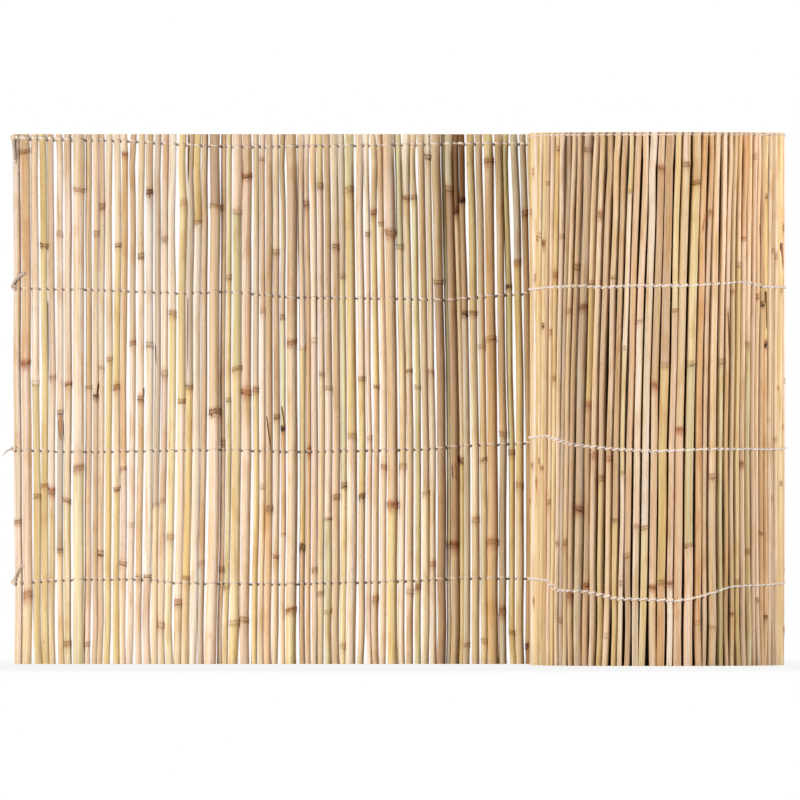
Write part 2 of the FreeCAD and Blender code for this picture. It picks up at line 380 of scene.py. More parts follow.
def cane_stations(joints):
    body = []
    below = RIM_HEIGHT
    for joint in joints:
        body += plain_stretch(below, joint - JOINT_REACH)
        body += [(joint + rise, share * CANE_RADIUS) for rise, share in JOINT_SHAPE]
        below = joint + JOINT_REACH
    body += plain_stretch(below, HEIGHT - RIM_HEIGHT)
    return with_sawn_ends(body, SAWN_RIM, RIM_HEIGHT)


models = {}
for count in range(1, MOST_JOINTS + 1):
    models[count] = pull_up(f"cane_model_{count}", SIDES, cane_stations(even_joints(count)))
print("cane models:", {count: len(piece.data.polygons) for count, piece in models.items()}, "faces")

# %% [markdown]
# ## Giving each cane its own growth
# No two canes grow alike. Chance gives each one its taper, a girth for each stretch between joints, kinks in
# its centre line, joints that swell more or less and sit a little askew, and a drift of tone. The chance
# starts from a fixed seed, so that every run grows the same canes.

# %% Grow a cane
chance = random.Random(64)
SHORTEST, LONGEST = 0.15, 0.34     # from one joint to the next
FIRST_JOINT = 0.8 * LONGEST   # the lowest joint is no higher than this
END_ROOM = 0.02               # no joint nearer to an end than this
KINK = 0.0003                 # most that the centre line goes aside at a joint
NOD = 0.0006                  # most that it goes to the front or the back there
TAPER = 0.1                   # most change of girth from the foot to the head
GIRTHS = (0.96, 1.04)         # of a stretch between joints
SWELLS = (0.5, 2.2)           # of a joint against the model's
ASKEW = (0.35, 0.25)          # steepest slope of a joint, sideways and to the front
REACHES = (0.8, 1.6)          # of a joint's marks along the cane
KINDS = ("", "", "r")         # one in three of the joints that aren't written down is stained
DRIFT_TONES = "wpksltay"
DRIFT = 0.25                  # most share of such a tone in a stretch
BRIGHTNESS = (0.92, 1.06)     # of a stretch
BRIGHTEST = 1.03              # but none is paler than this
MARKS = {                     # dark line, stain and black flecks of a joint: least and most of each
    "": ((0.35, 0.95), (0.0, 0.45), (0.0, 0.35)),
    "r": ((0.4, 0.9), (0.7, 1.0), (0.0, 0.4)),
    "k": ((0.9, 1.0), (0.3, 0.6), (0.9, 1.0)),
}


def grow_joints():
    while True:
        joints = [chance.uniform(END_ROOM, FIRST_JOINT)]
        while joints[-1] < HEIGHT - END_ROOM:
            joints.append(joints[-1] + chance.uniform(SHORTEST, LONGEST))
        joints.pop()
        if len(joints) in models:
            return joints


def grow(cane):
    """Add to a cane what chance gives it: joints if none are written down, and all that is listed above."""
    if not cane["joints"]:
        cane["joints"] = grow_joints()
        cane["kinds"] = [chance.choice(KINDS) for _ in cane["joints"]]
    joints = cane["joints"]
    spans = len(joints) + 1
    cane["stops"] = [0, *joints, HEIGHT]
    cane["kinks"] = [chance.uniform(-KINK, KINK) for _ in cane["stops"]]
    cane["nods"] = [chance.uniform(-NOD, NOD) for _ in cane["stops"]]
    cane["taper"] = chance.uniform(-TAPER, TAPER)
    cane["girths"] = [cane["stout"] * chance.uniform(*GIRTHS) for _ in range(spans)]
    cane["swells"] = [chance.uniform(*SWELLS) for _ in joints]
    cane["askew"] = [[chance.uniform(-slope, slope) for slope in ASKEW] for _ in joints]
    cane["marks"] = [[chance.uniform(*limits) for limits in MARKS[kind]] for kind in cane["kinds"]]
    cane["reaches"] = [chance.uniform(*REACHES) for _ in joints]
    from_head = cane["tones"].ljust(spans, cane["tones"][-1])
    from_foot = from_head[spans - 1::-1]
    drift = [TONE_LIGHT[chance.choice(DRIFT_TONES)] for _ in range(spans)]
    shares = [chance.uniform(0, DRIFT) for _ in range(spans)]
    lights = [chance.uniform(*BRIGHTNESS) for _ in range(spans)]
    cane["colours"] = []
    for tone, other, share, light in zip(from_foot, drift, shares, lights):
        mix = TONE_LIGHT[tone] * (1 - share) + other * share
        cane["colours"].append(mix * min(light, BRIGHTEST) * cane["tint"])


print("a cane grows joints such as", [round(joint, 3) for joint in grow_joints()])

# %% [markdown]
# ## Shaping a copy
# A copy of the model becomes a particular cane in four moves. Its joints slide to their own heights. Its
# girth follows its thickness, its taper and the stretch between two joints. Its joints swell and tilt. Last,
# its centre line leans, and kinks slightly at the joints as real canes do. While the points are at hand, the
# copy also gets the values that its finish needs: its tone, how near the next joint is, on which side of it,
# and which faces are sawn.

# %% Shape a cane
FAR = 0.03                    # a joint marks the skin no further away than this
SKIN_SHARE = 0.96             # corners further out than this share of the radius are skin, the others sawn
JOINT_VALUES = ("joint_mark", "joint_stain", "joint_black")


def copy_of(model):
    """A copy of a model with a mesh of its own."""
    piece = model.copy()
    piece.data = piece.data.copy()
    bpy.context.scene.collection.objects.link(piece)
    return piece


def stretch(cane):
    """Heights in the model and in the cane that belong together."""
    even = even_joints(len(cane["joints"]))
    model = [0, HOLLOW_DEPTH]
    real = [0, HOLLOW_DEPTH]
    for at, joint in zip(even, cane["joints"]):
        model += [at - JOINT_REACH, at + JOINT_REACH]
        real += [joint - JOINT_REACH, joint + JOINT_REACH]
    return model + [HEIGHT - HOLLOW_DEPTH, HEIGHT], real + [HEIGHT - HOLLOW_DEPTH, HEIGHT]


def put_values(mesh, name, kind, values):
    field = mesh.attributes.new(name, kind, "POINT")
    slot = "color" if kind == "FLOAT_COLOR" else "value"
    field.data.foreach_set(slot, np.asarray(values, dtype=np.float32).ravel())


def shape_cane(cane, line):
    """Copy the model with the right number of joints and turn it into this cane along its own line."""
    joints = np.array(cane["joints"])
    piece = copy_of(models[len(joints)])
    mesh = piece.data
    points = corners_of(piece)
    girth = np.hypot(points[:, 0], points[:, 1])
    outward = points[:, :2] / girth[:, None]
    share = girth / CANE_RADIUS
    height = np.interp(points[:, 2], *stretch(cane))

    nearest = np.abs(height[:, None] - joints[None, :]).argmin(axis=1)
    above = height - joints[nearest]
    span = nearest + (above > 0)
    skin = share > SKIN_SHARE
    share = np.where(skin, 1 + (share - 1) * np.array(cane["swells"])[nearest], share)
    taper = 1 + cane["taper"] * (height / HEIGHT - 0.5)
    radius = cane["thick"] / 2 * share * taper * np.array(cane["girths"])[span]
    close = np.clip(1 - np.abs(above) / JOINT_REACH, 0, 1)
    askew = (outward * np.array(cane["askew"])[nearest]).sum(axis=1)
    centre_x, centre_y = line(height)
    points[:, 0] = centre_x + outward[:, 0] * radius
    points[:, 1] = centre_y + outward[:, 1] * radius
    points[:, 2] = np.clip(height + askew * radius * close, 0, HEIGHT)
    mesh.vertices.foreach_set("co", points.ravel())

    colours = np.ones((len(points), 4))
    # painted light: the fade makes a cane's tone paler or darker along its height
    fade = np.interp(height, (0, HEIGHT / 2, HEIGHT), cane["fade"])
    colours[:, :3] = np.array(cane["colours"])[span] * fade[:, None]
    put_values(mesh, "tone", "FLOAT_COLOR", colours)
    away = np.minimum(np.abs(above) / np.array(cane["reaches"])[nearest], FAR)
    put_values(mesh, "over_joint", "FLOAT", np.where(above >= 0, away, FAR))
    put_values(mesh, "under_joint", "FLOAT", np.where(above <= 0, away, FAR))
    for name, values in zip(JOINT_VALUES, np.array(cane["marks"])[nearest].T):
        put_values(mesh, name, "FLOAT", values)
    put_values(mesh, "sawn", "FLOAT", np.where(skin, 0, 1))
    mesh.update()
    return piece


print("values that a joint leaves on the skin:", *JOINT_VALUES)

# %% [markdown]
# ## Canes that wander
# Between two rows of twine nothing holds the canes, so they bow and lean on each other: some gaps open like a
# spindle and others close. Chance moves each cane sideways at a few heights, only a little at the twine and
# more between the rows, and then neighbours that would overlap are pushed apart until all have room. This
# is done for the wing along its length and for the roll along its girth, so it is a helper for both.

# %% Let the canes wander
WANDER = (                    # height, how far a cane may stray there, least gap to its neighbour
    (0.0, 0.0015, 0.0), (0.04, 0.0009, 0.0), (0.080, 0.0003, 0.0003), (0.14, 0.0008, 0.0),
    (0.203, 0.0002, 0.0003), (0.275, 0.0009, 0.0), (0.350, 0.0003, 0.0003), (0.42, 0.0009, 0.0),
    (0.490, 0.0005, 0.0003), (0.5, 0.0006, 0.0002),
)
OVERLAP = 0.6                 # where one cane stands behind the next, they may overlap by this share of it
PUSHES = 80


def wander(canes, places, nudges, pressed, moved):
    """Give each cane its sideways strays at the heights of WANDER, with no two canes overlapping."""
    thick = np.array([cane["thick"] * cane["stout"] for cane in canes])
    back = [cane.get("back", 0) for cane in canes]
    needed = (thick[1:] + thick[:-1]) / 2 - OVERLAP * abs(np.diff(back))
    strays = []
    for height, reach, least in WANDER:
        spot = np.array(places) + [chance.uniform(-reach, reach) for _ in canes]
        moves = [(number, opening) for (number, level), opening in nudges.items() if level == height]
        moves += [(number, -shut) for number, shut in pressed.items()]
        for number, shift in moved.items():
            spot[number - 1] += shift
        for number, opening in moves:
            spot[number - 1] -= opening / 2
            spot[number] += opening / 2
        for _ in range(PUSHES):
            short = np.clip(needed + least - np.diff(spot), 0, None) / 2
            spot[:-1] -= short
            spot[1:] += short
        strays.append(spot - np.array(places))
    for cane, stray in zip(canes, np.array(strays).T):
        cane["strays"] = stray


def stray_at(cane, height):
    """A smooth curve through the strays of a cane."""
    levels = np.array([level for level, _, _ in WANDER])
    height = np.asarray(height)
    slopes = np.gradient(cane["strays"], levels)
    i = np.clip(np.searchsorted(levels, height) - 1, 0, len(levels) - 2)
    step = levels[i + 1] - levels[i]
    t = (height - levels[i]) / step
    start = (1 + 2 * t) * (1 - t) ** 2 * cane["strays"][i] + t * t * (3 - 2 * t) * cane["strays"][i + 1]
    return start + step * (t * (1 - t) ** 2 * slopes[i] - t * t * (1 - t) * slopes[i + 1])


print("the canes wander at", len(WANDER), "heights")

# %% [markdown]
# ## What the photograph says of single canes
# Some gaps stand out, some canes touch all the way up, and a few stand behind their neighbours. These are
# written down by the cane's number, counted from the left. For the others, girth and tint run evenly along
# the wing: the canes aren't lit the same everywhere in the photograph, and the tint makes up for that.

# %% Girth, tint and place of the wing's canes
NUDGES = {                    # gaps that stand out: the cane to the left, the height, how far it opens
    (6, 0.42): 0.0016, (20, 0.42): 0.0044, (28, 0.42): 0.0012, (36, 0.275): 0.0012, (46, 0.275): 0.001,
    (53, 0.42): 0.0008, (61, 0.42): 0.001, (63, 0.42): 0.0022, (35, 0.04): 0.0016,
    (10, 0.14): 0.001, (19, 0.275): 0.0012, (58, 0.14): 0.0006, (50, 0.04): 0.0016,
}
PRESSED = {                   # gaps that stay shut all the way, with how far both canes move together
    1: 0.0008, 2: 0.0009, 8: 0.0006, 21: 0.0006, 22: 0.0006, 52: 0.0006, 54: 0.0014, 55: 0.0010,
    56: 0.0010, 57: 0.0010, 59: 0.0005, 60: 0.0005, 62: 0.0014,
}
MOVED = {                     # canes that stand nearer to one neighbour, and how far to the right they move
    4: -0.0017, 5: -0.0016, 54: 0.0012, 55: 0.0004, 57: -0.001, 58: -0.0014, 59: -0.001, 60: -0.0014,
    61: -0.0013, 62: -0.0017, 63: -0.0005,
}
SET_BACK = {                  # canes that stand behind their neighbours
    55: 0.0002, 57: 0.0018, 60: 0.0008, 63: 0.0014, 65: 0.0008,
}
BROAD_CANES = {               # girth of single canes against the bar in the frame
    1: 1.2, 2: 1.2, 21: 1.2, 22: 1.2, 54: 1.14, 55: 1.0, 56: 1.22, 57: 1.24, 58: 1.2,
    59: 1.26, 60: 1.3, 61: 1.26, 62: 1.22, 63: 1.22, 64: 1.26, 65: 1.2,
}
# girth of the others: more than 1, because the bars are cut slim by their flats
STOUT_AT = [pixel_x(across) for across in (20, 80, 250, 400, 460)]
STOUT_ACROSS = (1.15, 1.21, 1.16, 1.13, 1.16)
TINT_AT = [pixel_x(across) for across in (20, 180, 300, 400, 440, 530)]
TINT_ACROSS = np.array([      # shares of red, green and blue
    (0.85, 0.88, 0.955), (0.96, 0.98, 1.05), (1.03, 1.055, 1.12), (1.1, 1.14, 1.175),
    (0.96, 0.99, 0.99), (0.91, 0.91, 0.82),
])
# painted light: the wing's tone is painted paler towards its foot and darker towards its head
WING_PAINTED_LIGHT = (1.09, 1.0, 0.9)  # at foot, middle and head: the wing is paler towards its foot

for number, cane in enumerate(wing, 1):
    cane["stout"] = BROAD_CANES.get(number, float(np.interp(cane["x"], STOUT_AT, STOUT_ACROSS)))
    cane["back"] = SET_BACK.get(number, 0)
    cane["tint"] = np.array([np.interp(cane["x"], TINT_AT, share) for share in TINT_ACROSS.T])
    cane["fade"] = WING_PAINTED_LIGHT
    grow(cane)
wander(wing, [cane["x"] for cane in wing], NUDGES, PRESSED, MOVED)
print("largest stray:", round(max(abs(cane["strays"]).max() for cane in wing) * 1000, 2), "mm")

# %% [markdown]
# ## The canes of the wing
# Each pair of the frame gets its two dressed canes, and the piece says which node it stands for.

# %% Dress the wing
def join_as(name, pieces):
    pick_up(*pieces)
    bpy.ops.object.join()
    piece = bpy.context.object
    piece.name = name
    piece.data.name = name
    return piece


def wing_line(cane):
    """The centre line of a cane of the wing, as a function of the height."""
    def line(height):
        kink = np.interp(height, cane["stops"], cane["kinks"]) + stray_at(cane, height)
        nod = np.interp(height, cane["stops"], cane["nods"])
        lean = lean_at(cane["x"], height, WING_LEAN)
        return cane["x"] + lean + kink, cane["y"] + cane["back"] + nod
    return line


bamboo = []
for node in pair_nodes:
    pair = [shape_cane(cane, wing_line(cane)) for cane in wing if cane["node"] == node]
    piece = join_as(node.replace("canes", "bamboo"), pair)
    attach(piece, "root")
    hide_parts(node)
    bamboo.append(piece)
print(len(bamboo), "pairs of canes,", sum(len(piece.data.polygons) for piece in bamboo), "faces")

# %% [markdown]
# ## The roll's outer turn
# The mat winds inwards as a spiral, one mat's thickness deeper with every turn. The canes of the outer turn
# are dressed like those of the wing. The stretch that faces the viewer is written down cane by cane, from
# left to right, as a letter for the thickness and then tones and joints as before. The rest is left to
# chance.

# %% Lay out the outer turn
FULL_TURN = 2 * math.pi
ROLL_PITCH = 0.0088           # the spiral comes in by this much with every turn
roll_low, roll_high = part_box("rolled_mat")
AXIS_X = (roll_low.x + roll_high.x) / 2 - ROLL_PITCH / 4
AXIS_Y = (roll_low.y + roll_high.y) / 2 - ROLL_PITCH / 4
ROLL_RADIUS = roll_high.y - AXIS_Y
ROLL_FACE = (
    "sl 245r 326k 469 / mt 184 / mp / my 151 276r 380 / mp 237 544 / ma 621 / ms 312 544 / mt / "
    "ta 151 308r 510r / spyto 285 405r 586r / sspp 216r 455r / sty 480 / ssp 279 460 636 / mty 521 / "
    "flwlw 193 349 474 583 / mot 556 / spw 323 527 / swl 528 / sptp 169r 387r 587r / btyo 367 582 / "
    "mlkw 312 584r / bpsk 166 431r / bslgp 184 365 547 / so 622 / ft 214r / bps 477 627 / mpg 363 / "
    "ft 314 / ms / mpy 267 583 / sop 240 465r / spg 345 553 / mk 158 / mp / st 305k 534 / "
    "mlyo 197 345k 617k / mp 421"
)
MIDDLE_CANE = 18              # the cane of the face, counted from 0, that stands nearest to the viewer
MIDDLE_PIXEL = 653            # where it stands in the picture
ROLL_GAPS = (0.0007, 0.0022)  # between two canes of the roll
FIRST_ANGLE = 0.1             # the outer turn begins at most this far from the back, in radians
CHANCE_SIZES = "fmmmssssbt"   # a letter that comes more than once is picked more often
CHANCE_TONES = "wpksltaoyb"


def spiral(angle):
    """Radius of the mat's outside after it has turned by this angle from the back."""
    return ROLL_RADIUS - ROLL_PITCH * angle / FULL_TURN


def set_beside(cane, neighbour, way):
    """Give a cane its angle beside a neighbour. A way of 1 is onwards round the spiral and -1 back."""
    gap = chance.uniform(*ROLL_GAPS)
    reach = spiral(neighbour["angle"]) - cane["thick"] / 2
    cane["angle"] = neighbour["angle"] + way * ((neighbour["thick"] + cane["thick"]) / 2 + gap) / reach
    return cane


def face_cane(words):
    words = words.strip()
    return describe({"thick": THICKNESS[words[0]]}, words[1:])


def chance_cane():
    return face_cane(chance.choice(CHANCE_SIZES) + chance.choice(CHANCE_TONES))


face = [face_cane(words) for words in ROLL_FACE.split("/")]
face[MIDDLE_CANE]["angle"] = math.pi - math.asin((pixel_x(MIDDLE_PIXEL) - AXIS_X) / ROLL_RADIUS)
for i in range(MIDDLE_CANE - 1, -1, -1):
    set_beside(face[i], face[i + 1], 1)
for i in range(MIDDLE_CANE + 1, len(face)):
    set_beside(face[i], face[i - 1], -1)
to_left = [face[0]]
while to_left[-1]["angle"] < FULL_TURN:
    to_left.append(set_beside(chance_cane(), to_left[-1], 1))
to_right = [face[-1]]
while to_right[-1]["angle"] > FIRST_ANGLE:
    to_right.append(set_beside(chance_cane(), to_right[-1], -1))
outer = to_right[:0:-1] + face[::-1] + to_left[1:]
print(len(outer), "canes from", round(outer[0]["angle"], 3), "to", round(outer[-1]["angle"], 3), "radians")

# %% [markdown]
# ## Dressing the outer turn
# The canes of the roll lean along the spiral instead of straight sideways. Their tones were read off a
# photograph in which the middle of the roll is lit most, so a share takes that light out again, by how far
# a cane stands from the front. On the right the canes are also painted paler at the head and darker at the
# foot, as painted light.

# %% Dress the outer turn
ROLL_STOUT = 1.05             # on the bent mat the gaps open a little
ROLL_TINT = np.array((1, 0.955, 0.94))
LIT_MOST = (                  # degrees to the right of the front, share of the tone that is kept there
    (-50, -20, 0, 20, 50),
    (0.97, 0.88, 0.84, 0.87, 1.0),
)
# painted light: on the right the head is painted paler and the foot darker
ROLL_PAINTED_LIGHT = (                 # by the same degrees, how much paler the head and darker the foot is
    (15, 40, 75),
    (0, 0.18, 0.06),
)


def right_of_front(cane):
    """Degrees from the front of the roll to a cane, counted to the right."""
    return 180 - math.degrees(cane["angle"])


def roll_line(cane):
    """The centre line of a cane of the outer turn, as a function of the height."""
    def line(height):
        reach = spiral(cane["angle"]) - cane["thick"] / 2
        kink = np.interp(height, cane["stops"], cane["kinks"]) - stray_at(cane, height)
        nod = np.interp(height, cane["stops"], cane["nods"])
        lean = lean_at(right_of_front(cane), height, ROLL_LEAN)
        angle = cane["angle"] - (lean + kink) / reach
        return AXIS_X + (reach + nod) * np.sin(angle), AXIS_Y + (reach + nod) * np.cos(angle)
    return line


for cane in outer:
    right = right_of_front(cane)
    lift = np.interp(right, *ROLL_PAINTED_LIGHT)
    cane["stout"] = ROLL_STOUT
    cane["tint"] = ROLL_TINT * np.interp(right, *LIT_MOST)
    cane["fade"] = (1 - lift, 1, 1 + lift)
    grow(cane)
wander(outer, [cane["angle"] * ROLL_RADIUS for cane in outer], nudges={}, pressed={}, moved={})
outer_turn = join_as("roll_outer_turn", [shape_cane(cane, roll_line(cane)) for cane in outer])
print("outer turn:", len(outer_turn.data.polygons), "faces")

# %% [markdown]
# ## The turns inside
# Below the outer turn some six hundred more canes are wound up. Only their sawn ends and a dark sliver
# between the outer canes can be seen, so one plain cane with few faces is modelled and copied along the
# spiral. Their sides are painted dark brown as painted shade for the depth of the roll, while the sawn ends
# are as pale as the others.

# %% Wind up the inner turns
INNER_SIDES = 7
# painted shade: the sides of an inner cane keep only this share of its tone
INNER_PAINTED_SHADE = 0.32            # how much of its tone an inner cane shows
CORE = 0.021                  # the mat can't be wound tighter than this
inner_model = pull_up("inner_cane_model", INNER_SIDES, with_sawn_ends([], 1, 2 * RIM_HEIGHT))
inner_points = corners_of(inner_model)
inner_side = np.hypot(inner_points[:, 0], inner_points[:, 1]) > SKIN_SHARE * CANE_RADIUS
inner_side &= abs(inner_points[:, 2] - HEIGHT / 2) < HEIGHT / 2 - RIM_HEIGHT


def plain_skin(mesh, light, sawn):
    """Give a piece one tone and no joints."""
    count = len(mesh.vertices)
    put_values(mesh, "tone", "FLOAT_COLOR", np.tile((*light, 1), (count, 1)))
    for name in ("over_joint", "under_joint"):
        put_values(mesh, name, "FLOAT", np.full(count, FAR))
    for name in JOINT_VALUES:
        put_values(mesh, name, "FLOAT", np.zeros(count))
    put_values(mesh, "sawn", "FLOAT", np.broadcast_to(sawn, count))


def shape_inner(cane):
    piece = copy_of(inner_model)
    reach = spiral(cane["angle"]) - cane["thick"] / 2
    scale = cane["thick"] / 2 / CANE_RADIUS
    points = inner_points * (scale, scale, 1)
    points[:, 0] += AXIS_X + reach * math.sin(cane["angle"])
    points[:, 1] += AXIS_Y + reach * math.cos(cane["angle"])
    piece.data.vertices.foreach_set("co", points.ravel())
    plain_skin(piece.data, TONE_LIGHT[cane["tones"]] * INNER_PAINTED_SHADE, np.where(inner_side, 0, 1))
    return piece


inner = []
last = outer[-1]
while spiral(last["angle"]) - THICKNESS["t"] > CORE:
    last = set_beside(chance_cane(), last, 1)
    inner.append(last)
inner_turns = join_as("roll_inner_turns", [shape_inner(cane) for cane in inner])
for piece in (outer_turn, inner_turns):
    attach(piece, "root")
    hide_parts("rolled_mat")
for model in (*models.values(), inner_model):
    bpy.data.objects.remove(model)
print(len(inner), "inner canes,", len(inner_turns.data.polygons), "faces")

# %% [markdown]
# ## Peeled sheaths and painted shade lines
# Here and there a dry leaf sheath still clings to a joint or a cane has split: a brown blade that tapers to
# a point. A few long dark blades are painted shade instead: dark strips where canes touch or overlap and one
# shades the other. The blade is pulled up once as a flat six-sided spike. Each copy runs from its root to its
# tip in the picture, and every point of it is laid on the front of the cane that stands there, while the tip
# stands off a little, as dry leaf does.

# %% Lay the sheaths and shade lines on the canes
BLADE_TONES = {"d": (104, 66, 42), "o": (196, 142, 106), "r": (172, 116, 98), "b": (178, 130, 92)}
SHEATHS_AND_SHADE_LINES = (                   # tone, pixels of the root and of the tip, width in pixels
    ("o", (704.8, 214), (700.6, 236), 2.0), ("o", (704.0, 216), (702.6, 230), 1.4),
    ("r", (781.5, 243), (783, 270), 2.2), ("d", (281, 406), (284.5, 429), 1.5),
    ("d", (266, 416), (270.5, 453), 1.4), ("d", (316, 295), (316.5, 340), 1.0),
    ("d", (452, 464), (453, 480), 1.6), ("b", (455, 462), (456, 480), 2.4),
    # painted shade: the second blade on the next line is a dark wedge of shade between overlapping canes
    ("d", (458.5, 456), (459, 465), 1.6), ("d", (188, 133), (187, 182), 1.6),
    ("d", (97.5, 383), (95.2, 400), 2.2), ("d", (154.4, 345), (155, 364), 1.2),
    ("d", (142.8, 388), (143.2, 397), 1.4), ("b", (59.0, 416), (60.0, 442), 3.2),
    ("d", (56.8, 420), (58.2, 440), 0.8), ("d", (62.0, 420), (63.0, 445), 0.8),
    # painted shade: both blades on the next line are dark strips where touching canes shade each other
    ("d", (187.0, 297), (186.6, 372), 0.9), ("d", (46.6, 300), (47.4, 378), 0.8),
    ("d", (727, 312), (728.6, 362), 1.2), ("d", (765.5, 291), (766, 331), 1.4),
    ("d", (759, 225), (759.6, 246), 1.0),
)
BLADE_THICKNESS = 0.0003
BLADE_SUNK = 0.3             # share of its thickness by which a blade sinks into the cane
BLADE_CURL = 0.0009          # how far a tip stands off
BLADE_SIDES = 6
BLADE = (                     # how far along the blade, half its width there
    (0.0, 0.2), (0.06, 0.45), (0.3, 0.5), (0.65, 0.34), (0.9, 0.14), (1.0, 0.02),
)
ASIDE = 1.3                   # a cane still counts this many radii away from its middle
ROUND = 0.98                  # but its front is followed only as far as this
blade_model = pull_up("sheath_model", BLADE_SIDES, BLADE)
blade_points = corners_of(blade_model)
facing = [(cane, roll_line(cane)) for cane in outer if math.pi / 2 < cane["angle"] < 1.5 * math.pi]
facing += [(cane, wing_line(cane)) for cane in wing]


def front_at(x, height):
    """How far forward the canes reach at this place of the picture."""
    fronts = []
    for cane, line in facing:
        radius = cane["thick"] * cane["stout"] / 2
        centre_x, centre_y = line(height)
        aside = abs(x - centre_x) / radius
        if aside < ASIDE:
            fronts.append(centre_y - radius * math.sqrt(1 - min(aside, ROUND) ** 2))
    return min(fronts)


def lay_blade(tone, root, tip, width):
    piece = copy_of(blade_model)
    along = blade_points[:, 2]
    across = np.interp(along, (0, 1), (root[0], tip[0])) + blade_points[:, 0] * width
    down = np.interp(along, (0, 1), (root[1], tip[1]))
    points = np.column_stack((pixel_x(across), np.zeros(len(along)), pixel_z(down)))
    for point, out, share in zip(points, blade_points[:, 1], along):
        lift = (out - BLADE_SUNK) * BLADE_THICKNESS - BLADE_CURL * share ** 3
        point[1] = front_at(point[0], point[2]) + lift
    piece.data.vertices.foreach_set("co", points.ravel())
    plain_skin(piece.data, to_linear(BLADE_TONES[tone]), 0)
    piece.data.update()
    return piece


sheaths_and_shade_lines = join_as("peeled_sheaths", [lay_blade(*sheath) for sheath in SHEATHS_AND_SHADE_LINES])
pick_up(sheaths_and_shade_lines)
bpy.ops.object.mode_set(mode="EDIT")
bpy.ops.mesh.select_all(action="SELECT")
bpy.ops.mesh.normals_make_consistent(inside=False)
bpy.ops.object.mode_set(mode="OBJECT")
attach(sheaths_and_shade_lines, "root")
bpy.data.objects.remove(blade_model)
print(len(SHEATHS_AND_SHADE_LINES), "sheaths,", len(sheaths_and_shade_lines.data.polygons), "faces")

# %% [markdown]
# ## How the twine runs
# Each row is two strands. One passes in front of a cane while the other passes behind it, and in every gap
# they change places, one above the other, so they hold the cane like two fingers. Seen from the front
# a strand climbs out of the gap, passes over a cane and dives again. The rows sag and rise along
# the panel: their heights are a few places read off the photograph, with straight stretches between.

# %% Heights of the rows
TOP_ROW = 4
ROW_PATHS = {                 # by row, counted from the foot: pixels across and down
    1: ((11, 583), (76, 579), (143, 579), (179, 583), (281, 584), (400, 581), (464, 578), (530, 578)),
    2: ((11, 449), (76, 451), (222, 449), (288, 451), (400, 449), (433, 448), (464, 445), (530, 442)),
    3: ((11, 287), (84, 288), (138, 290), (179, 292), (224, 290), (293, 296), (398, 297), (451, 299),
        (489, 295), (530, 292)),
    4: ((11, 136), (127, 139), (184, 143), (242, 145), (398, 143), (459, 142), (530, 142)),
}
ROLL_ROW_PATHS = {            # the same round the front of the roll
    1: ((531, 579), (543, 581), (553, 590), (584, 591), (617, 598), (655, 599), (683, 600), (701, 596),
        (732, 586), (783, 583)),
    2: ((531, 437), (539, 436), (553, 440), (563, 444), (612, 449), (655, 451), (706, 449), (783, 449)),
    3: ((531, 289), (539, 288), (573, 286), (594, 288), (624, 286), (681, 286), (719, 284), (742, 282),
        (767, 287), (783, 287)),
    4: ((531, 136), (783, 135)),
}


def wing_row_height(row, x):
    across, down = zip(*ROW_PATHS[row])
    return np.interp(x, [pixel_x(a) for a in across], [pixel_z(d) for d in down])


def roll_row_height(row, angle):
    across, down = zip(*ROLL_ROW_PATHS[row])
    turned = [math.pi - math.asin(np.clip((pixel_x(a) - AXIS_X) / ROLL_RADIUS, -1, 1)) for a in across]
    back = wing_row_height(row, AXIS_X)
    places = [0, *turned[::-1], FULL_TURN]
    heights = [back, *[pixel_z(d) for d in down[::-1]], back]
    return np.interp(angle, places, heights)


print("row 3 at the first cane:", round(float(wing_row_height(3, LEFT_EDGE)), 4), "m high")

# %% [markdown]
# ## Strands of twine
# A strand is a curve with a section of two rounded plies, turned along its length by the curve's tilt, so
# the plies wind round each other as in real twine. The curve is then made a mesh. The points come from the
# canes themselves: on the wing seven round the front of a cane or four behind it, and on the roll five.

# %% Draw a strand
TWINE_RADIUS = {1: 0.0009, 2: 0.00085, 3: 0.00085, 4: 0.00105}
PLY_LENGTH = 0.008            # the two plies go round each other once in this length
PLY_CORNERS = 8
PLY_WAIST = 0.72              # thickness of the section against its width
CLIMB = 0.0017                # how far a strand climbs out of the gap before it passes over a cane
# points of a pass over a cane and of one under it: degrees across it, share of the climb, share of painted
# shade
OVER = (
    (-84, -0.7, 1.0), (-64, -0.1, 0.4), (-30, 0.0, 0.0), (0, -0.15, 0.0), (30, -0.35, 0.0),
    (60, -0.6, 0.1), (82, -0.85, 0.7),
)
UNDER = ((-75, -1.0, 1.0), (-25, -1.05, 1.0), (25, -1.1, 1.0), (80, -1.15, 1.0))


def ply_section():
    """A closed outline of two plies side by side, one unit from its middle to its end."""
    let_go()
    outline = bpy.data.curves.new("ply_section", "CURVE")
    spline = outline.splines.new("POLY")
    spline.points.add(PLY_CORNERS - 1)
    for i, point in enumerate(spline.points):
        angle = i * FULL_TURN / PLY_CORNERS
        reach = PLY_WAIST + (1 - PLY_WAIST) * math.cos(angle) ** 2
        point.co = (reach * math.cos(angle), reach * math.sin(angle), 0, 1)
    spline.use_cyclic_u = True
    section = bpy.data.objects.new("ply_section", outline)
    bpy.context.scene.collection.objects.link(section)
    return section


section = ply_section()


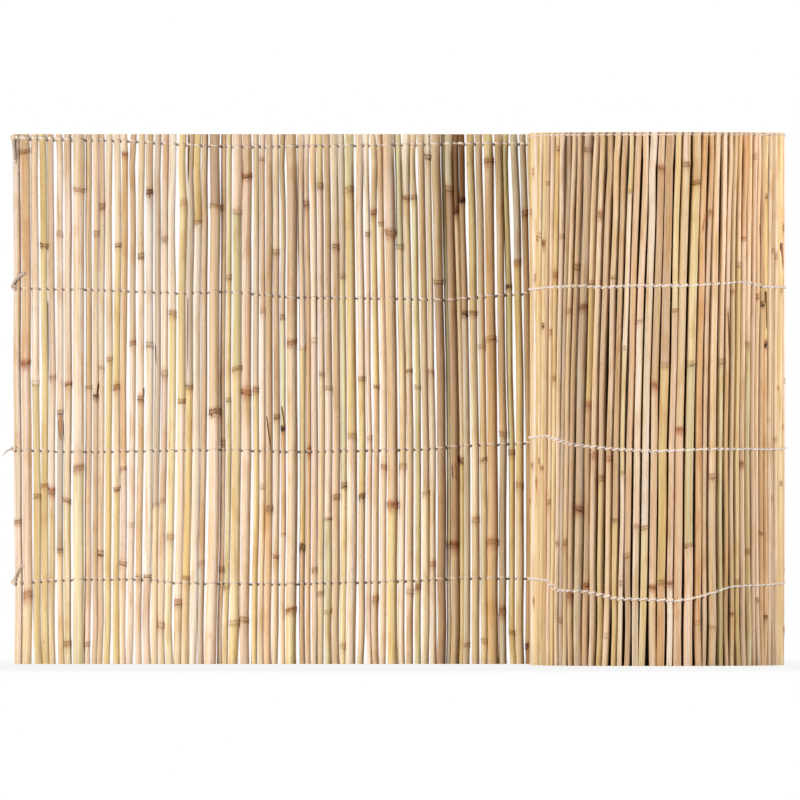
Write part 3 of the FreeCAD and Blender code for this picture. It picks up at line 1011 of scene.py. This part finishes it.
def draw_strand(name, points, radius, girths=None, shade=None):
    """A twisted strand through the points, as a mesh. Girths and shade are given point by point."""
    outline = bpy.data.curves.new(name, "CURVE")
    outline.dimensions = "3D"
    outline.bevel_mode = "OBJECT"
    outline.bevel_object = section
    outline.use_fill_caps = True
    spline = outline.splines.new("POLY")
    spline.points.add(len(points) - 1)
    girths = [1] * len(points) if girths is None else girths
    run = 0
    for i, point in enumerate(spline.points):
        if i:
            run += math.dist(points[i], points[i - 1])
        point.co = (*points[i], 1)
        point.radius = radius * girths[i]
        point.tilt = run / PLY_LENGTH * FULL_TURN
    piece = bpy.data.objects.new(name, outline)
    bpy.context.scene.collection.objects.link(piece)
    pick_up(piece)
    bpy.ops.object.convert(target="MESH")
    piece = bpy.context.object
    bpy.ops.object.shade_smooth()
    # painted shade: the shade values grey a strand where it dives into a gap or behind a cane, and grey the
    # tails
    shade = np.zeros(len(points)) if shade is None else shade
    rings = np.repeat(shade, len(section.data.splines[0].points))
    put_values(piece.data, "tucked", "FLOAT", np.resize(rings, len(piece.data.vertices)))
    return piece


print("section of", len(section.data.splines[0].points), "points")

# %% [markdown]
# ## The rows across the wing
# Both strands of a row are drawn from cane to cane. The first stands for the frame's front strand and the
# other for its back strand.

# %% Twine the wing
WING_SEAT = 0.3               # a strand's middle stands off a cane by this share of its radius
BUNCHED = 0.9                 # the top row is thicker by this share where it was tied
BUNCHED_LENGTH = 0.09         # and slims down over this length


def wrap_wing(row, first_side):
    """Points of one strand across the wing and their shade. Side -1 is the front of a cane, 1 its back."""
    points = []
    shade = []
    side = first_side
    for cane in wing:
        level = float(wing_row_height(row, cane["x"]))
        centre_x, centre_y = (float(value) for value in wing_line(cane)(level))
        reach = cane["thick"] * cane["stout"] / 2 + WING_SEAT * TWINE_RADIUS[row]
        for degrees, climb, dark in OVER if side < 0 else UNDER:
            angle = math.radians(degrees)
            across = centre_x + reach * math.sin(angle)
            points.append((across, centre_y + side * reach * math.cos(angle), level + climb * CLIMB))
            shade.append(dark)
        side = -side
    return points, shade


def swollen_start(points):
    """Girths of the top row, which is bunched up at its start and slims down along the first dozen canes."""
    start = points[0][0]
    return [1 + BUNCHED * max(0, 1 - (point[0] - start) / BUNCHED_LENGTH) for point in points]


for row in ROW_PATHS:
    for strand, first_side in (("front", -1), ("back", 1)):
        points, shade = wrap_wing(row, first_side)
        girths = swollen_start(points) if row == TOP_ROW else None
        piece = draw_strand(f"{strand}_twine_row_{row}", points, TWINE_RADIUS[row], girths, shade)
        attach(piece, "root")
        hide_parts(f"{strand}_strand_row_{row}")
        piece["finish"] = "worn"
    print("row", row, "has", len(points), "points in a strand and", len(piece.data.polygons), "faces")

# %% [markdown]
# ## The rows round the roll
# The same two strands go on round the outer turn, over a cane and under the next. They are cleaner and whiter
# here than on the wing, which has lain in the sun.

# %% Twine the roll
WRAP_DEGREES = (-60, -30, 0, 30, 60)
ROLL_TWINE_RADIUS = {1: 0.00095, 2: 0.00095, 3: 0.00095, 4: 0.0007}
ROLL_SEAT = 0.6               # a strand's middle stands off a cane by this share of its radius
ROLL_CLIMB = 0.8              # and climbs or falls by this share of it on its way over a cane


def wrap_roll(row, first_side):
    """Points of one strand round the outer turn. A side of 1 is the outside of the roll."""
    thin = ROLL_TWINE_RADIUS[row]
    points = []
    side = first_side
    for cane in outer:
        level = float(roll_row_height(row, cane["angle"]))
        centre_x, centre_y = (float(value) for value in roll_line(cane)(level))
        out = np.array((centre_x - AXIS_X, centre_y - AXIS_Y))
        out = out / np.hypot(*out)
        along = np.array((out[1], -out[0]))
        reach = cane["thick"] * cane["stout"] / 2 + ROLL_SEAT * thin
        for degrees in WRAP_DEGREES:
            angle = math.radians(degrees)
            climb = side * degrees / WRAP_DEGREES[-1] * ROLL_CLIMB * thin
            spot = out * side * reach * math.cos(angle) + along * reach * math.sin(angle)
            points.append((centre_x + spot[0], centre_y + spot[1], level - climb))
        side = -side
    return points


for row in ROLL_ROW_PATHS:
    thin = ROLL_TWINE_RADIUS[row]
    strands = [draw_strand(f"strand_{side}", wrap_roll(row, side), thin) for side in (1, -1)]
    piece = join_as(f"roll_twine_dressed_row_{row}", strands)
    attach(piece, "root")
    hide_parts(f"roll_twine_row_{row}")
    piece["finish"] = "worn" if row == TOP_ROW else "clean"
print("round the roll:", len(piece.data.polygons), "faces in a row")

# %% [markdown]
# ## Knots and tails
# At the free left edge both strands of a row are tied off. The knot is an overhand knot, which a closed
# three-lobed curve gives well at this size, and its tail is drawn from the photograph: one hangs
# down, one curls up, one points left and one points up. A frayed tail ends in a few loose fibres.

# %% Tie the knots
KNOTS = {                     # pixels of the knot, then of the tail from the knot to its end
    1: ((12, 583), ((12, 581), (14, 577), (16, 573), (19, 568))),
    2: ((12, 449), ((11, 449), (8, 450), (5, 451), (3, 454))),
    3: ((12, 287), ((11, 287), (12, 282), (16, 277), (20, 274), (24, 273))),
    4: ((11, 137), ((12, 138), (12, 145), (13, 152), (13, 159))),
}
TAIL_GIRTHS = {1: (1.0, 0.8), 2: (1.1, 0.8), 3: (1.5, 2.6), 4: (1.7, 1.0)}     # at the knot and at the end
TAIL_SHADE = 0.7              # the tails are greyer than the rest
TAIL_CLEAR = 0.001            # a tail hangs this far in front of its knot
CORNER_CUT = 0.25             # a corner of the line is cut off at this share of each side
KNOT_SIZE = 0.00075
KNOT_DEPTH = 1.4              # from front to back, against the size
KNOT_STEPS = 48
FIBRES = 7
FIBRE_REACH = 0.003
FIBRE_SPREAD = 0.5
FIBRE_STEPS = (-0.3, 0.2, 0.6, 1.0)     # shares of the reach, from inside the tail to the fibre's end
FIBRE_GIRTHS = (0.5, 0.12)


def knot_points(centre):
    """A closed curve with three lobes that goes over and under itself."""
    points = []
    for i in range(KNOT_STEPS + 1):
        turn = i / KNOT_STEPS * FULL_TURN
        points.append((
            centre[0] + KNOT_SIZE * (math.sin(turn) + 2 * math.sin(2 * turn)),
            centre[1] + KNOT_SIZE * math.sin(3 * turn) * KNOT_DEPTH,
            centre[2] + KNOT_SIZE * (math.cos(turn) - 2 * math.cos(2 * turn)),
        ))
    return points


def soften(points, rounds=3):
    """Cut off the corners of a given line a few times, so that it hangs in a curve."""
    for _ in range(rounds):
        cut = [points[0]]
        for one, other in zip(points, points[1:]):
            one, other = np.array(one), np.array(other)
            for share in (CORNER_CUT, 1 - CORNER_CUT):
                cut.append(tuple(one * (1 - share) + other * share))
        points = [*cut, points[-1]]
    return points


def loose_fibres(route, thin):
    """Fibres that spread from the end of a tail."""
    tip = np.array(route[-1])
    ahead = (tip - np.array(route[-2])) / math.dist(route[-1], route[-2])
    fibres = []
    for _ in range(FIBRES):
        spread = np.array([chance.uniform(-FIBRE_SPREAD, FIBRE_SPREAD) for _ in range(3)])
        fibre = [tuple(tip + (ahead + spread * s) * FIBRE_REACH * s) for s in FIBRE_STEPS]
        fibres.append(draw_strand("fibre", fibre, thin, np.linspace(*FIBRE_GIRTHS, len(fibre))))
    return fibres


for row, (knot, tail) in KNOTS.items():
    thin = TWINE_RADIUS[row]
    front = wing[0]["y"] - wing[0]["thick"] / 2 - thin
    parts = [draw_strand("knot", knot_points((pixel_x(knot[0]), front, pixel_z(knot[1]))), thin)]
    route = [(pixel_x(across), front - TAIL_CLEAR, pixel_z(down)) for across, down in tail]
    soft = soften(route)
    dull = np.full(len(soft), TAIL_SHADE)
    parts.append(draw_strand("tail", soft, thin, np.linspace(*TAIL_GIRTHS[row], len(soft)), dull))
    parts += loose_fibres(route, thin)
    piece = join_as(f"tied_end_row_{row}", parts)
    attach(piece, "root")
    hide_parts(f"end_knot_row_{row}")
    piece["finish"] = "worn"
bpy.data.objects.remove(section)
print("tied ends:", len(KNOTS))

# %% [markdown]
# ## Tools for the finishes
# A finish is a tree of small nodes that hand values on to each other. By hand they are wired in the shader
# editor. Here a few helpers add a node, feed its sockets and hand back what comes out: noise that can be
# stretched along a cane, a value that fades between two limits, products, and mixes of two colours.

# %% Tools for the finishes
MIX_SOCKETS = (0, 6, 7)       # of a mix of colours: the amount and the two colours
MIX_RESULT = 2


def feed(tree, socket, value):
    """Link a socket to what comes out of another node, or set it to a plain value."""
    if isinstance(value, bpy.types.NodeSocket):
        tree.links.new(value, socket)
    else:
        socket.default_value = value


def add_node(tree, kind, settings=None, **inputs):
    """Add a node, choose its settings and feed its sockets. A name has _ where the socket's has a space."""
    node = tree.nodes.new(kind)
    for name, value in (settings or {}).items():
        setattr(node, name, value)
    for name, value in inputs.items():
        feed(tree, node.inputs[name.replace("_", " ")], value)
    return node


def stretched_noise(tree, scale, detail, rough=0.5):
    place = add_node(tree, "ShaderNodeTexCoord").outputs["Object"]
    spot = add_node(tree, "ShaderNodeMapping", Vector=place, Scale=scale).outputs["Vector"]
    noise = add_node(tree, "ShaderNodeTexNoise", Vector=spot, Scale=1.0, Detail=detail, Roughness=rough)
    return noise.outputs["Fac"]


def ranged(tree, value, low, high, to_low=0.0, to_high=1.0):
    """A value that goes softly from to_low, where the given value is low, to to_high, where it is high."""
    limits = {"From_Min": low, "From_Max": high, "To_Min": to_low, "To_Max": to_high}
    soft = {"interpolation_type": "SMOOTHSTEP"}
    return add_node(tree, "ShaderNodeMapRange", soft, Value=value, **limits).outputs["Result"]


def reckoned(tree, operation, one, other):
    node = add_node(tree, "ShaderNodeMath", {"operation": operation})
    for socket, value in zip(node.inputs, (one, other)):
        feed(tree, socket, value)
    return node.outputs["Value"]


def times(tree, first, *others):
    product = first
    for other in others:
        product = reckoned(tree, "MULTIPLY", product, other)
    return product


def larger(tree, one, other):
    return reckoned(tree, "MAXIMUM", one, other)


def mixed(tree, amount, one, other, blend="MIX"):
    node = add_node(tree, "ShaderNodeMix", {"data_type": "RGBA", "blend_type": blend})
    for index, value in zip(MIX_SOCKETS, (amount, one, other)):
        feed(tree, node.inputs[index], value)
    return node.outputs[MIX_RESULT]


def tinted(tree, amount, skin, tint):
    """Let a share of a tint through the skin, as a glaze does."""
    return mixed(tree, amount, skin, mixed(tree, 1.0, skin, tint, "MULTIPLY"))


def value_of(tree, name, output="Fac"):
    """A value that was put on the mesh."""
    return add_node(tree, "ShaderNodeAttribute", {"attribute_name": name}).outputs[output]


def colour(red, green, blue):
    return (*to_linear((red, green, blue)), 1.0)


def new_finish(name):
    finish = bpy.data.materials.new(name)
    finish.use_nodes = True
    tree = finish.node_tree
    return finish, tree, tree.nodes["Principled BSDF"]


def put_on(finish, piece):
    piece.data.materials.clear()
    piece.data.materials.append(finish)


print("peach as a node's colour:", [round(float(part), 3) for part in colour(*TONES["p"])])

# %% [markdown]
# ## Skin between the joints
# The skin of a cane is silky, with fine streaks that run along it, broader bands of another tone, grey
# weathering, a few cracks and dark specks. All of them are noise in Object coordinates, stretched along the
# cane. The mild ones are glazes that let the tone through, and the flaws cover it.

# %% Skin between the joints
STREAK_SHOWS = (0.62, 0.36)   # streaks grow darker from here to here in their noise
STREAK_TINT = (236, 229, 217)
GLAZES = (                    # stretch and detail of the noise, from where to where it shows, amount, tint
    ((300, 300, 5), 2, (0.45, 0.62), 0.8, (244, 231, 206)),     # bands
    ((480, 480, 8), 2, (0.52, 0.68), 0.6, (222, 217, 212)),     # weathering
    ((90, 90, 28), 3, (0.5, 0.7), 0.6, (234, 217, 194)),        # clouds
)
FLAWS = (                     # the same for what covers the skin
    ((1000, 1000, 9), 1, (0.76, 0.8), 0.7, (118, 78, 54)),      # cracks
    ((900, 900, 260), 2, (0.7, 0.76), 0.7, (110, 74, 50)),      # specks
)


def grown_skin(tree, streak):
    skin = value_of(tree, "tone", "Color")
    skin = tinted(tree, ranged(tree, streak, *STREAK_SHOWS), skin, colour(*STREAK_TINT))
    for lay_on, marks in ((tinted, GLAZES), (mixed, FLAWS)):
        for stretch_by, detail, shows, most, tint in marks:
            amount = ranged(tree, stretched_noise(tree, stretch_by, detail), *shows, 0, most)
            skin = lay_on(tree, amount, skin, colour(*tint))
    return skin


print("the skin has", len(GLAZES), "glazes and", len(FLAWS), "kinds of flaws")

# %% [markdown]
# ## Marks of a joint
# Round a joint the skin is stained reddish brown. The groove itself is dark, a second dark line runs along
# the lip above it, and some joints have black flecks. These marks use the values that each cane was given
# when it was shaped: how far away the joint is, above or below, and how strongly it is marked.

# %% Marks of a joint
# metres below a joint and metres above it: from where a mark begins to where it is strongest
SMUDGE = (0.009, 0.0006), (0.007, 0.002)
BAND = (0.0024, 0.0006), (0.0034, 0.0024)
SCAR = (0.0010, 0.0002), (0.0007, 0.0001)
FLECKED = (0.005, 0.001), (0.005, 0.001)
RIDGE = (0.0016, 0.0022), (0.0029, 0.0024)     # both above it: lower and upper edge of the second line
SMUDGE_TINT = (202, 150, 120)
BAND_TINT = (206, 178, 152)
RIDGE_TONE = (104, 72, 52)
SCAR_TONE = (72, 48, 36)
FLECK_TONE = (48, 32, 26)
BAND_AMOUNT = 0.75
RIDGE_AMOUNT = 0.6
FLECK_AMOUNT = 0.9
BREAK_NOISE = (330, 330, 120)
FLECK_NOISE = (420, 420, 260)
FLECK_SHOWS = (0.5, 0.58)
# from and to in a noise, and how much of a mark is left there
STAIN_LEFT = (0.35, 0.65, 0.25, 1)
LINES_LEFT = (0.4, 0.6, 0.1, 1)


def beside_joint(tree, below, above):
    under = ranged(tree, value_of(tree, "under_joint"), *below)
    over = ranged(tree, value_of(tree, "over_joint"), *above)
    return larger(tree, under, over)


def joint_skin(tree, skin, streak):
    """Lay a stain, a brown band, two dark lines and black flecks on the skin."""
    dark, stain, black = (value_of(tree, name) for name in JOINT_VALUES)
    rough_edge = ranged(tree, streak, *STAIN_LEFT)
    broken = ranged(tree, stretched_noise(tree, BREAK_NOISE, 1), *LINES_LEFT)
    fleck = ranged(tree, stretched_noise(tree, FLECK_NOISE, 2), *FLECK_SHOWS)
    smudge = times(tree, beside_joint(tree, *SMUDGE), rough_edge, stain)
    skin = tinted(tree, smudge, skin, colour(*SMUDGE_TINT))
    band = times(tree, beside_joint(tree, *BAND), dark, BAND_AMOUNT)
    skin = tinted(tree, band, skin, colour(*BAND_TINT))
    over = value_of(tree, "over_joint")
    from_below, from_above = (ranged(tree, over, *limits) for limits in RIDGE)
    ridge = times(tree, from_below, from_above, dark, broken, RIDGE_AMOUNT)
    skin = mixed(tree, ridge, skin, colour(*RIDGE_TONE))
    scar = times(tree, beside_joint(tree, *SCAR), dark, larger(tree, broken, black))
    skin = mixed(tree, scar, skin, colour(*SCAR_TONE))
    flecks = times(tree, fleck, beside_joint(tree, *FLECKED), black, FLECK_AMOUNT)
    return mixed(tree, flecks, skin, colour(*FLECK_TONE))


print("a joint stains the skin up to", SMUDGE[0][0] * 1000, "mm below it")

# %% [markdown]
# ## Finish of the bamboo
# One finish serves every cane, since tone and joints come with the mesh. A sawn end shows the paler pith
# instead of the skin. The streaks that tint the skin also roughen it and stand out a little as grain, so
# that light and colour tell the same story.

# %% Finish of the bamboo
STREAKS = (1300, 1300, 11)
PITH_TONES = (226, 196, 146), (196, 152, 104)
SKIN_ROUGHNESS = (0.3, 0.7, 0.66, 0.5)     # from and to in the streaks' noise, and the roughness there
SKIN_SHINE = 0.04
GRAIN_STRENGTH = 0.3
GRAIN_DEPTH = 0.0002


def bamboo_finish():
    finish, tree, shader = new_finish("bamboo_skin")
    streak = stretched_noise(tree, STREAKS, 4, 0.6)
    skin = joint_skin(tree, grown_skin(tree, streak), streak)
    pith = mixed(tree, streak, *(colour(*tone) for tone in PITH_TONES))
    skin = mixed(tree, value_of(tree, "sawn"), skin, pith)
    grain = add_node(tree, "ShaderNodeBump", Strength=GRAIN_STRENGTH, Distance=GRAIN_DEPTH, Height=streak)
    feed(tree, shader.inputs["Base Color"], skin)
    feed(tree, shader.inputs["Roughness"], ranged(tree, streak, *SKIN_ROUGHNESS))
    feed(tree, shader.inputs["Specular IOR Level"], SKIN_SHINE)
    feed(tree, shader.inputs["Normal"], grain.outputs["Normal"])
    return finish


bamboo_skin = bamboo_finish()
for piece in (*bamboo, outer_turn, inner_turns, sheaths_and_shade_lines):
    put_on(bamboo_skin, piece)
print("bamboo skin:", len(bamboo_skin.node_tree.nodes), "nodes")

# %% [markdown]
# ## Finish of the twine
# The twine is a soft natural fibre. Across the wing it has gone beige, almost the tone of the canes, and
# round the roll it is nearly white. Fine noise stands for the fibres, and a coarser one for handling marks.
# In the gaps and behind the canes a strand is tinted greyer as painted shade, and the tails by the same tint.

# %% Finish of the twine
FIBRE_NOISE = (2600, 2600, 2600)
HANDLED_NOISE = (140, 140, 140)
FIBRE_SHOWS = (0.38, 0.62)
HANDLED_SHOWS = (0.45, 0.7, 0, 0.5)
HANDLED_TINT = (226, 214, 198)
GAP_SHADE_AND_TAIL_TINT = (176, 168, 168)
FUZZ_STRENGTH = 0.5
FUZZ_DEPTH = 0.0002
TWINE_ROUGHNESS = 0.9
TWINE_SHEEN = 0.2
TWINE_TONES = {               # pale and dull fibres
    "worn": ((232, 213, 195), (208, 188, 170)),
    "clean": ((236, 226, 218), (212, 199, 189)),
}


def twine_finish(name, pale, dull):
    finish, tree, shader = new_finish(name)
    fibre = stretched_noise(tree, FIBRE_NOISE, 3, 0.65)
    handled = ranged(tree, stretched_noise(tree, HANDLED_NOISE, 2), *HANDLED_SHOWS)
    strand = mixed(tree, ranged(tree, fibre, *FIBRE_SHOWS), colour(*dull), colour(*pale))
    strand = tinted(tree, handled, strand, colour(*HANDLED_TINT))
    # painted shade in the gaps and behind the canes, and the greyer tails
    strand = tinted(tree, value_of(tree, "tucked"), strand, colour(*GAP_SHADE_AND_TAIL_TINT))
    fuzz = add_node(tree, "ShaderNodeBump", Strength=FUZZ_STRENGTH, Distance=FUZZ_DEPTH, Height=fibre)
    feed(tree, shader.inputs["Base Color"], strand)
    feed(tree, shader.inputs["Roughness"], TWINE_ROUGHNESS)
    feed(tree, shader.inputs["Sheen Weight"], TWINE_SHEEN)
    feed(tree, shader.inputs["Normal"], fuzz.outputs["Normal"])
    return finish


twine_finishes = {kind: twine_finish(f"{kind}_twine", *tones) for kind, tones in TWINE_TONES.items()}
for piece in list(bpy.context.scene.objects):
    if "finish" in piece:
        put_on(twine_finishes[piece["finish"]], piece)
        del piece["finish"]
print("twine finishes:", list(twine_finishes))

# %% [markdown]
# ## Floor
# A pale floor carries the panel, keeps its shadow and fades into white further out. The fade is for the
# camera alone, so the floor throws back no more light than a grey one.

# %% Floor
FLOOR_SIDE = 6.0
FLOOR_CUTS = 3
FLOOR_TONES = (160, 160, 159), (156, 156, 155)
FLOOR_ROUGHNESS = 0.8
FLOOR_SHINE = 0.1
BLOTCHES = (9, 9, 9)
FADE = (0.45, 1.1)            # from here to here, in metres from the middle, the floor fades into white
FLOOR_LIFT = 0.86             # and this near to white it already is beside the panel
let_go()
bpy.ops.mesh.primitive_plane_add(size=FLOOR_SIDE)
floor = bpy.context.object
floor.name = "floor"
bpy.ops.object.mode_set(mode="EDIT")
bpy.ops.mesh.subdivide(number_cuts=FLOOR_CUTS)
bpy.ops.object.mode_set(mode="OBJECT")


def floor_finish():
    finish, tree, shader = new_finish("pale_floor")
    blotch = stretched_noise(tree, BLOTCHES, 2)
    feed(tree, shader.inputs["Base Color"], mixed(tree, blotch, *(colour(*tone) for tone in FLOOR_TONES)))
    feed(tree, shader.inputs["Roughness"], FLOOR_ROUGHNESS)
    feed(tree, shader.inputs["Specular IOR Level"], FLOOR_SHINE)
    place = add_node(tree, "ShaderNodeTexCoord").outputs["Object"]
    away = add_node(tree, "ShaderNodeVectorMath", {"operation": "LENGTH"}, Vector=place).outputs["Value"]
    seen = add_node(tree, "ShaderNodeLightPath").outputs["Is Camera Ray"]
    fade = times(tree, ranged(tree, away, *FADE, FLOOR_LIFT, 1), seen)
    glow = add_node(tree, "ShaderNodeEmission", Strength=1.0)
    choose = add_node(tree, "ShaderNodeMixShader", Fac=fade)
    tree.links.new(shader.outputs["BSDF"], choose.inputs[1])
    tree.links.new(glow.outputs["Emission"], choose.inputs[2])
    tree.links.new(choose.outputs["Shader"], tree.nodes["Material Output"].inputs["Surface"])
    return finish


floor.data.materials.append(floor_finish())
print("floor", tuple(round(side, 2) for side in floor.dimensions))

# %% [markdown]
# ## Light and background
# In the photograph the light comes from both sides: a large soft lamp on the left lights everything, and a
# smaller one on the right lights all but the stretch that the roll keeps in its shadow. A weak lamp above and
# one behind are there for the other sides. Their level is that of a studio, so that each tone shows about as
# it was written. Only what the camera sees directly, or in a reflection, is pure white.

# %% Light and background
LAMPS = (                     # name, place, size and power
    ("left_lamp", (-2.1, -1.9, 0.5), 0.9, 99),
    ("right_lamp", (1.8, -1.0, 0.6), 0.6, 36),
    ("top_lamp", (0.0, 0.3, 2.6), 1.2, 18),
    ("back_lamp", (0.1, 2.6, 1.0), 1.2, 56),
)
ROOM_COLOUR = (0.97, 0.98, 1.0, 1.0)
ROOM_LIGHT = 0.04


def soft_lamp(name, place, size, power):
    """A square lamp that looks at the middle of the panel."""
    lamp = bpy.data.lights.new(name, "AREA")
    lamp.size = size
    lamp.energy = power
    stand = bpy.data.objects.new(name, lamp)
    bpy.context.scene.collection.objects.link(stand)
    stand.location = place
    aim = Vector((0, 0, HEIGHT / 2)) - stand.location
    stand.rotation_euler = aim.to_track_quat("-Z", "Y").to_euler()


for lamp in LAMPS:
    soft_lamp(*lamp)

world = bpy.data.worlds.new("studio")
bpy.context.scene.world = world
world.use_nodes = True
sky = world.node_tree
room = sky.nodes["Background"]
feed(sky, room.inputs["Color"], ROOM_COLOUR)
feed(sky, room.inputs["Strength"], ROOM_LIGHT)
white = add_node(sky, "ShaderNodeBackground", Color=(1, 1, 1, 1), Strength=1.0)
path = add_node(sky, "ShaderNodeLightPath")
seen = path.outputs["Is Camera Ray"]
for ray in ("Is Glossy Ray", "Is Transmission Ray"):
    seen = larger(sky, seen, path.outputs[ray])
choose = add_node(sky, "ShaderNodeMixShader", Fac=seen)
sky.links.new(room.outputs["Background"], choose.inputs[1])
sky.links.new(white.outputs["Background"], choose.inputs[2])
sky.links.new(choose.outputs["Shader"], sky.nodes["World Output"].inputs["Surface"])
bpy.context.scene.view_settings.view_transform = "Standard"
